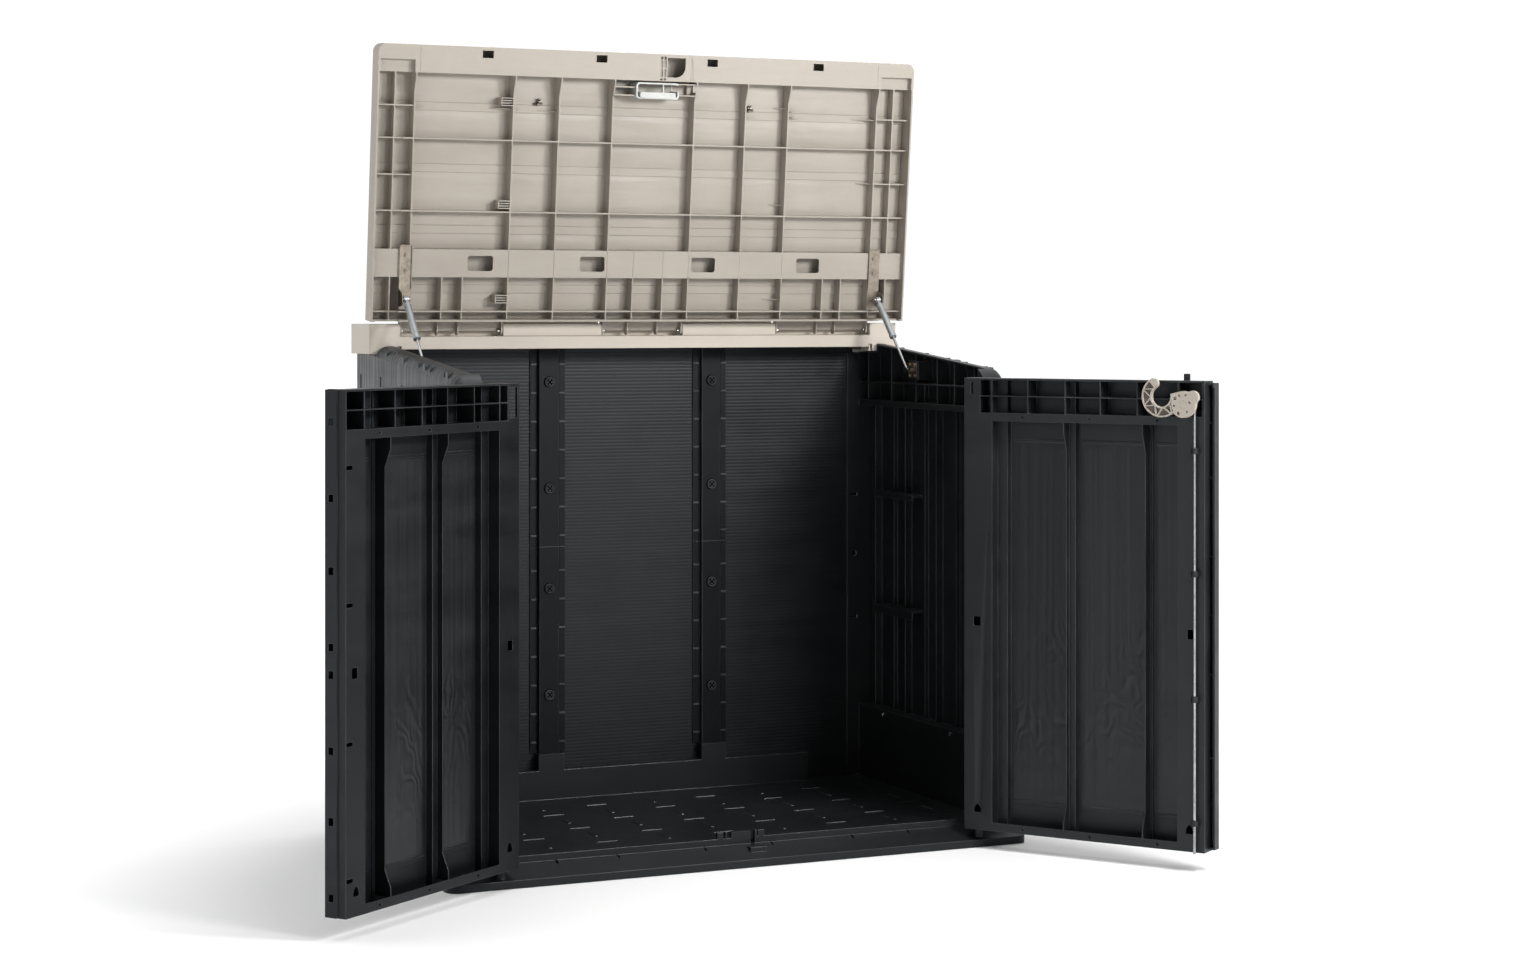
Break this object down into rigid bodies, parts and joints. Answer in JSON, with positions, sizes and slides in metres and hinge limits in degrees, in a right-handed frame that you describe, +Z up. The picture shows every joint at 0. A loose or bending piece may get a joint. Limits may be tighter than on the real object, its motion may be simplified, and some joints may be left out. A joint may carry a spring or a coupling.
{
  "type": "garden storage box",
  "caption": "Moulded plastic garden storage box with a lift-up lid on gas struts, swing doors with a turning hook latch and lock rod, ribbed walls and a ramped floor.",
  "frame": {"origin": "centre of the floor's underside, on the middle foot", "axes": "+X to the right seen from the doors, +Y to the back, +Z up"},
  "size_m": [1.8355, 1.199, 1.712],
  "materials": {
    "dark_plastic": "anthracite moulded resin, fine grain",
    "back_sheet": "fluted twin-wall sheet, anthracite",
    "beige_plastic": "warm beige moulded resin",
    "grey_plastic": "light grey moulded resin",
    "zinc_steel": "bright zinc plate",
    "pin_steel": "plain drawn steel",
    "strut_paint": "silver paint",
    "strut_chrome": "polished rod"
  },
  "bodies": {
    "cabinet": {"base_floor": "dark_plastic", "left_side_panel": "dark_plastic", "right_side_panel": "dark_plastic", "back_post_left_lower": "dark_plastic", "back_post_left_upper": "dark_plastic", "back_post_right_lower": "dark_plastic", "back_post_right_upper": "dark_plastic", "outer_strip_left": "dark_plastic", "outer_strip_right": "dark_plastic", "post_lock_plugs": "dark_plastic", "back_sheet_left": "back_sheet", "back_sheet_center": "back_sheet", "back_sheet_right": "back_sheet", "rear_header": "beige_plastic", "lid_hinge_pins": "pin_steel", "door_hinge_pins": "pin_steel", "strut_stud_plate_left": "zinc_steel", "strut_stud_plate_right": "zinc_steel", "stud_plate_screws": "zinc_steel", "wall_screws": "zinc_steel"},
    "lid": {"lid_panel": "beige_plastic", "lid_latch_frame": "grey_plastic", "lid_strike_pin": "pin_steel", "lid_hooks": "zinc_steel", "strut_bracket_left": "zinc_steel", "strut_bracket_right": "zinc_steel", "bracket_screws": "zinc_steel"},
    "left_door": {"left_door": "dark_plastic"},
    "right_door": {"right_door": "dark_plastic", "rod_guides": "dark_plastic"},
    "latch": {"latch_hook": "beige_plastic", "latch_spindle": "beige_plastic", "latch_knob": "dark_plastic"},
    "lock_rod": {"lock_rod": "zinc_steel"},
    "strut_cylinder_left": {"strut_cylinder_left": "strut_paint"},
    "strut_rod_left": {"strut_rod_left": "strut_chrome"},
    "strut_cylinder_right": {"strut_cylinder_right": "strut_paint"},
    "strut_rod_right": {"strut_rod_right": "strut_chrome"}
  },
  "joints": [
    {"name": "lid_hinge", "type": "hinge", "parent": "cabinet", "child": "lid", "pos_m": [0, 0.246, 1.095], "axis": [1, 0, 0], "range_deg": [0, 89.2]},
    {"name": "left_door_hinge", "type": "hinge", "parent": "cabinet", "child": "left_door", "pos_m": [-0.534, -0.356, 0.5], "axis": [0, 0, 1], "range_deg": [-5.7, 144.3]},
    {"name": "right_door_hinge", "type": "hinge", "parent": "cabinet", "child": "right_door", "pos_m": [0.534, -0.356, 0.5], "axis": [0, 0, -1], "range_deg": [-25.1, 124.9]},
    {"name": "latch_turn", "type": "hinge", "parent": "right_door", "child": "latch", "pos_m": [0.77891, -0.78747, 0.95], "axis": [0.8202, 0.5721, 0], "range_deg": [0, 100]},
    {"name": "rod_drop", "type": "slide", "parent": "right_door", "child": "lock_rod", "axis": [0, 0, -1], "range_m": [0, 0.0172]},
    {"name": "strut_swing_left", "type": "hinge", "parent": "lid", "child": "strut_cylinder_left", "pos_m": [-0.565, 0.18647, 1.16439], "axis": [1, 0, 0], "range_deg": [-123.4, 0.2]},
    {"name": "strut_slide_left", "type": "slide", "parent": "strut_cylinder_left", "child": "strut_rod_left", "axis": [0, 0.69, 0.7238], "range_m": [0, 0.0755]},
    {"name": "strut_swing_right", "type": "hinge", "parent": "lid", "child": "strut_cylinder_right", "pos_m": [0.565, 0.18647, 1.16439], "axis": [1, 0, 0], "range_deg": [-123.4, 0.2]},
    {"name": "strut_slide_right", "type": "slide", "parent": "strut_cylinder_right", "child": "strut_rod_right", "axis": [0, 0.69, 0.7238], "range_m": [0, 0.0755]}
  ],
  "couplings": [
    {"joint": "rod_drop", "follows": "latch_turn", "m_per_rad": 0.0097403},
    {"joint": "strut_swing_left", "follows": "lid_hinge", "ratio": -1.3809},
    {"joint": "strut_slide_left", "follows": "lid_hinge", "m_per_rad": 0.04842},
    {"joint": "strut_swing_right", "follows": "lid_hinge", "ratio": -1.3809},
    {"joint": "strut_slide_right", "follows": "lid_hinge", "m_per_rad": 0.04842}
  ]
}
